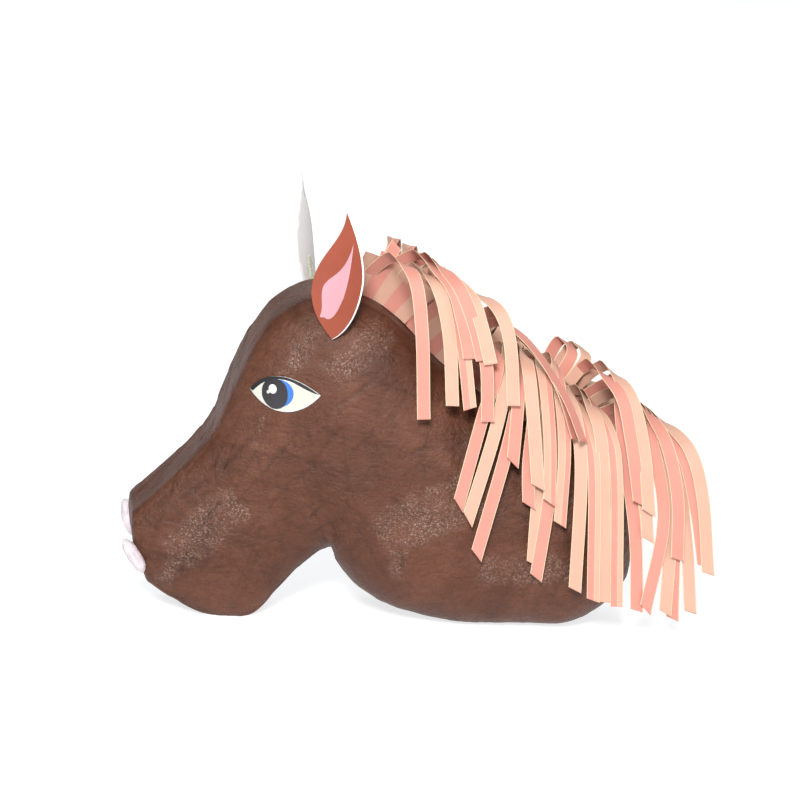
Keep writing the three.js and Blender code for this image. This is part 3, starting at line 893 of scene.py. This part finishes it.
def add_nostrils():
    mat = nostril_material()
    for node, place, lean, seed in NOSTRILS:
        rows, around = 40, 56
        points = []
        for j in range(rows + 1):
            lift = math.pi * j / rows
            for i in range(around):
                turn = 2 * math.pi * i / around
                spot = Vector((math.sin(lift) * math.cos(turn), math.sin(lift) * math.sin(turn),
                               math.cos(lift)))
                puff = (1 + 0.10 * noise.noise(spot * 1.5 + Vector((seed, 0, 0)))
                        + 0.05 * noise.noise(spot * 4 + Vector((0, seed, 0)))
                        + 0.03 * noise.noise(spot * 11))
                x, y, z = 7 * spot.x * puff, 13 * spot.y * puff, 19 * spot.z * puff
                cos, sin = math.cos(lean), math.sin(lean)
                points.append((place[0] + x * cos + z * sin, place[1] + y,
                               place[2] + z * cos - x * sin))
        faces = [f[::-1] for f in around_faces(rows + 1, around)]
        made = make_object("puffed_" + node, np.array(points) * MM, faces, [mat])
        stand_in(made, "head", "nostril_paint", node)


# ------------------------------------------------------------------ mane
STRIP = 12.8                   # width of a fringe strip, mm
PAPER = 0.36                   # thickness of the fringe card
STRIPE = 10.8                  # width of a stripe in the print at a card's root
CREST_FROM, CREST_TO = -160, 98    # where the cards stand along the crest, x
ARCH = 48.0                    # how far an arch goes sideways
WALL = 46.0                    # height of a card's uncut root
LAYER = 1.1                    # how far one layer of strips hangs outside the next

# Near strips: root x; x, z of the arch's top, of where it starts to hang, of the middle of
# its hang and of its end; colours left to right; slant of the cut; layer.
NEAR_STRIPS = (
    (-166, (-137, 373), (-122, 362), (-113, 312), (-106, 228), "k", 0.0, 1),
    (-160, (-113, 376), (-88, 358), (-76, 328), (-66, 290), "k", 0.2, 3),
    (-150, (-102, 374), (-81, 358), (-65, 325), (-54, 289), "k", 0.1, 4),
    (-141, (-115, 364), (-100, 356), (-87, 312), (-79, 242), "e", 0.1, 0),
    (-131, (-95, 368), (-68, 348), (-57, 322), (-46, 286), "e", 0.1, 5),
    (-116, (-100, 356), (-86, 344), (-73, 302), (-62, 240), "ke", -0.2, 1),
    (-109, (-66, 347), (-42, 338), (-29, 308), (-21, 246), "e", 0.1, 6),
    (-102, (-80, 346), (-71, 336), (-51, 292), (-44, 228), "k", 0.1, 2),
    (-94, (-36, 322), (-6, 302), (22, 264), (42, 214), "k", 0.4, 4),
    (-87, (-28, 314), (2, 292), (30, 254), (50, 212), "k", 0.4, 5),
    (-78, (-34, 292), (-36, 276), (-49, 228), (-66, 142), "k", 1.0, 0),
    (-72, (-24, 287), (-27, 266), (-36, 214), (-56, 128), "e", 1.0, 1),
    (-66, (-9, 279), (-14, 265), (-16, 226), (-17, 188), "k", 0.9, 4),
    (-60, (-8, 278), (-14, 250), (-23, 198), (-45, 92), "k", 0.8, 2),
    (-53, (-7, 287), (-6, 276), (1, 227), (10, 164), "e", 0.7, 4),
    (-46, (8, 281), (10, 270), (18, 213), (23, 148), "ek", 0.8, 3),
    (-39, (9, 269), (3, 224), (0, 184), (3, 144), "k", 0.7, 1),
    (-33, (25, 278), (28, 250), (34, 199), (35, 126), "ek", 0.6, 2),
    (-26, (20, 246), (16, 196), (12, 142), (12, 84), "e", 0.5, 0),
    (-19, (30, 246), (27, 196), (22, 136), (16, 70), "k", 0.6, 1),
    (-10, (38, 256), (47, 222), (53, 170), (56, 58), "e", 0.5, 1),
    (-2, (47, 245), (59, 212), (66, 172), (75, 48), "ke", 0.4, 2),
    (5, (56, 246), (68, 222), (75, 172), (87, 46), "e", 0.2, 1),
    (12, (63, 242), (79, 216), (88, 172), (99, 42), "ke", 0.1, 2),
    (21, (65, 274), (86, 256), (98, 215), (112, 150), "k", 0.7, 4),
    (29, (79, 273), (97, 253), (112, 202), (122, 141), "e", 0.8, 5),
    (38, (90, 256), (96, 198), (112, 116), (120, 38), "k", 0.4, 1),
    (46, (95, 246), (107, 186), (119, 145), (124, 112), "e", 0.7, 2),
    (53, (112, 232), (123, 204), (138, 132), (128, 40), "k", 0.8, 4),
    (60, (117, 232), (133, 199), (146, 131), (149, 36), "e", 0.6, 2),
    (67, (116, 230), (130, 196), (148, 137), (157, 30), "k", 0.5, 1),
    (74, (118, 234), (134, 212), (149, 160), (155, 94), "k", 0.4, 5),
    (80, (124, 230), (144, 198), (162, 118), (174, 38), "e", 0.5, 3),
    (87, (128, 228), (152, 200), (169, 146), (182, 88), "k", 0.4, 5),
    (93, (132, 226), (158, 205), (174, 160), (187, 80), "e", 0.5, 6),
)
# Near strips that hang turned, seen nearly edge on: root x and turn.
TWISTED = {-94: -1.4, -87: -1.1}


def crest_at(x):
    stops = np.linspace(8, LAST, 500)
    line = row_curve([0, 1], stops)
    return float(np.interp(x, line[:, 0], line[:, 1]))


def crest_tilt(x):
    return math.atan2(crest_at(x - 25) - crest_at(min(x + 25, 102)), min(x + 25, 102) - x + 25)


def crest_frame(x):
    tilt = crest_tilt(x)
    root = np.array((x, 0.0, crest_at(x)))
    up = np.array((math.sin(tilt), 0, math.cos(tilt)))
    along = np.array((math.cos(tilt), 0, -math.sin(tilt)))
    return root, up, along


def evenly(points, step):
    """The smooth curve through points, sampled every step mm or so."""
    dense = through(points, np.linspace(0, len(points) - 1, 60 * len(points)))
    walked = np.concatenate([[0], np.cumsum(np.linalg.norm(np.diff(dense, axis=0), axis=1))])
    count = max(4, int(walked[-1] / step))
    even = np.linspace(0, walked[-1], count)
    return np.column_stack([np.interp(even, walked, dense[:, k]) for k in range(3)])


COLOUR_SLOT = {"k": 0, "e": 1}


def ribbon(path, wides, colours, cut):
    """A paper strip along a path. Its cut edges are cream, and its end is cut on a slant."""
    rim = 0.6 / STRIP
    edges, slots = [-0.5, rim - 0.5, 0.5 - rim, 0.5], [2, COLOUR_SLOT[colours[0]], 2]
    if len(colours) == 2:
        edges[2:2] = [0.05, 0.05 + 0.35 / STRIP]
        slots[2:] = [2, COLOUR_SLOT[colours[1]], 2]
    across = len(edges)
    points, faces, marks = [], [], []
    count = len(path)
    for i, p in enumerate(path):
        ahead = path[min(i + 1, count - 1)] - path[max(i - 1, 0)]
        ahead /= np.linalg.norm(ahead)
        wide = wides[i] - ahead * (wides[i] @ ahead)
        wide /= np.linalg.norm(wide)
        thick = np.cross(ahead, wide)
        slide = cut * STRIP * max(0.0, (i - count + 4) / 3)
        for face in (0.5, -0.5):
            for e in edges:
                points.append(p + wide * e * STRIP + thick * face * PAPER
                              + ahead * slide * e)
    row = 2 * across
    for i in range(count - 1):
        a, b = i * row, (i + 1) * row
        for k in range(across - 1):
            faces.append((a + k, b + k, b + k + 1, a + k + 1))
            marks.append(slots[k])
            low_a, low_b = a + across, b + across
            faces.append((low_a + k, low_a + k + 1, low_b + k + 1, low_b + k))
            marks.append(slots[k])
        faces.append((a, a + across, b + across, b))
        faces.append((a + across - 1, b + across - 1, b + row - 1, a + row - 1))
        marks.extend([2, 2])
    for start in (0, (count - 1) * row):
        for k in range(across - 1):
            faces.append((start + k, start + k + 1, start + across + k + 1, start + across + k))
            marks.append(2)
    return points, faces, marks


def bend(share):
    """How far an arch has gone sideways when it is at this share of its height."""
    return ARCH * (1 - math.sqrt(max(0.0, 1 - min(share, 1.0) ** 2)))


def mane_strip(row, side):
    root_x, apex, hang, middle, end, colours, cut, layer = row
    root, up, along = crest_frame(root_x)
    high = (apex[1] - root[2]) / up[2]
    slide = apex[0] - root[0] - up[0] * high
    foot = 0.5 + 0.4 * (layer % 3)
    points = [root + up * 1.5 + (0, side * foot, 0)]
    for share in (0.3, 0.55, 0.8, 0.94):
        points.append(root + up * high * share
                      + (slide * share ** 2, side * (foot + bend(share)), 0))
    out = LAYER * layer
    points += [(apex[0], side * (50 + out), apex[1]), (hang[0], side * (86 + out), hang[1]),
               (middle[0], side * (97 + out), middle[1]), (end[0], side * (100 + out), end[1])]
    path = evenly([np.array(p, dtype=float) for p in points], 4.5)
    swing = rng.uniform(-0.1, 0.1) + TWISTED.get(root_x, 0.0)
    level = np.array((1.0, side * swing, 0.0))
    wides = []
    for p in path:                 # it droops from 6 mm out, and turns level from 46 to 84 mm out
        off = abs(p[1])
        share = float(ease((off - 46) / 38))
        droop = np.array((0, 0, -0.7)) * float(ease((off - 6) / 24))
        wides.append((along + droop) * (1 - share) + level * share)
    return ribbon(path, wides, colours, cut)


def root_wall(from_x, to_x, side):
    """The uncut root of a fringe card, printed in stripes that run up off the crest."""
    points, faces, marks = [], [], []
    xs = np.arange(from_x, to_x + 0.01, 0.9)
    levels = 12
    for face in (0, PAPER):
        for x in xs:
            root, up, _ = crest_frame(x)
            for j in range(levels):
                at = 1.2 + (WALL - 1.2) * j / (levels - 1)
                points.append(root + up * at + (0, side * (2.4 + bend(at / 64) + face), 0))
    row, block = levels, levels * len(xs)
    for i in range(len(xs) - 1):
        slot = 0 if (xs[i] + 400) % (2 * STRIPE) < STRIPE else 1
        for j in range(levels - 1):
            a, b = i * row + j, (i + 1) * row + j
            faces.append((a, b, b + 1, a + 1))
            faces.append((block + a, block + a + 1, block + b + 1, block + b))
            marks.extend([slot, slot])
    return points, faces, marks


def short_strip(root_x, high, lean_y, lean_x, colours, cut):
    """A far strip that stands up from the crest."""
    root, up, along = crest_frame(root_x)
    points = [
        root + up * 1.5 + (0, 1.6, 0),
        root + up * high * 0.5 + (0, 2.4 + lean_y * 0.12, 0),
        root + up * high * 0.85 + (lean_x * 0.4, 3 + lean_y * 0.5, 0),
        root + up * high + (lean_x, 4 + lean_y, -2),
    ]
    path = evenly([np.array(p, dtype=float) for p in points], 5.0)
    return ribbon(path, [along] * len(path), colours, cut)


def loop_strip(root_x, apex, low, colours):
    root, up, along = crest_frame(root_x)
    points = [root + up * 1.5 + (0, 2.0, 0), root + up * 30 + (0, 6, 0),
              np.array((apex[0] - 8, 8.0, apex[1] - 4)), np.array((apex[0], -6.0, apex[1])),
              np.array((apex[0] + 3, -20.0, apex[1] - 8)), np.array((low[0], -27.0, low[1]))]
    path = evenly(points, 4.0)
    return ribbon(path, [along] * len(path), colours, 0.0)


def add_mane():
    mats = [card_material("mane_pink", PINK, 0.62, 0.06, 0.3),
            card_material("mane_peach", PEACH, 0.62, 0.06, 0.3),
            card_material("mane_cut_edge", CREAM, 0.7, 0.04, 0.3)]
    near_cards = 6
    span = (CREST_TO - CREST_FROM) / near_cards
    for card in range(near_cards):
        low, high = CREST_FROM + span * card, CREST_FROM + span * (card + 1)
        if card == 0:
            low -= 14              # the first card starts further forward
        parts = [root_wall(low, high - 0.5, -1)]
        parts += [mane_strip(row, -1) for row in NEAR_STRIPS if low <= row[0] < high]
        if card == 3:
            parts.append(loop_strip(2, (46, 284), (34, 250), "k"))
            parts.append(loop_strip(10, (60, 280), (46, 248), "e"))
        node = f"mane_fringe_near_{card + 1}"
        made = join_parts("paper_" + node, parts, mats)
        stand_in(made, "head", "mane_paper", node)
    far_cards = 3
    span = (CREST_TO - CREST_FROM) / far_cards
    for card in range(far_cards):
        low, high = CREST_FROM + span * card, CREST_FROM + span * (card + 1)
        parts = [root_wall(low, high - 0.5, 1)]
        count = 8
        for i in range(count):
            root_x = low + span * (i + 0.5) / count
            root, up, _ = crest_frame(root_x)
            tip = root + up * rng.uniform(50, 58)
            hang = (tip[0] + rng.uniform(10, 18), tip[2] - rng.uniform(8, 14))
            drop = rng.uniform(50, 130) * min(1, (tip[2] - 30) / 200)
            end = (hang[0] + rng.uniform(8, 22), max(hang[1] - drop - 20, 36))
            middle = ((hang[0] + end[0]) / 2 + 3, (hang[1] + end[1]) / 2)
            colours = ("k", "e", "ke", "ek")[rng.integers(4)]
            row = (root_x, (tip[0] + 3, tip[2]), hang, middle, end, colours,
                   rng.uniform(-0.6, 0.8), i % 4)
            parts.append(mane_strip(row, 1))
        for i in range(5):
            root_x = low + span * (i + 0.3) / 5
            parts.append(short_strip(root_x, 60 + rng.uniform(-5, 5), 12 + rng.uniform(-4, 8),
                                     rng.uniform(0, 6), "ke"[i % 2], rng.uniform(-0.5, 0.5)))
        node = f"mane_fringe_far_{card + 1}"
        made = join_parts("paper_" + node, parts, mats)
        stand_in(made, "head", "mane_paper", node)


# ------------------------------------------------------------------ the whole scene
add_camera()
add_stage()
add_eyes(add_skin())
add_ears()
add_glue()
add_nostrils()
add_mane()
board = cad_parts["hanger_board"]
board.data.materials.clear()
board.data.materials.append(
    bare_paper_material("plain_cardboard", (0.46, 0.30, 0.16), (0.34, 0.21, 0.11)))
bpy.context.scene.view_settings.view_transform = "Standard"
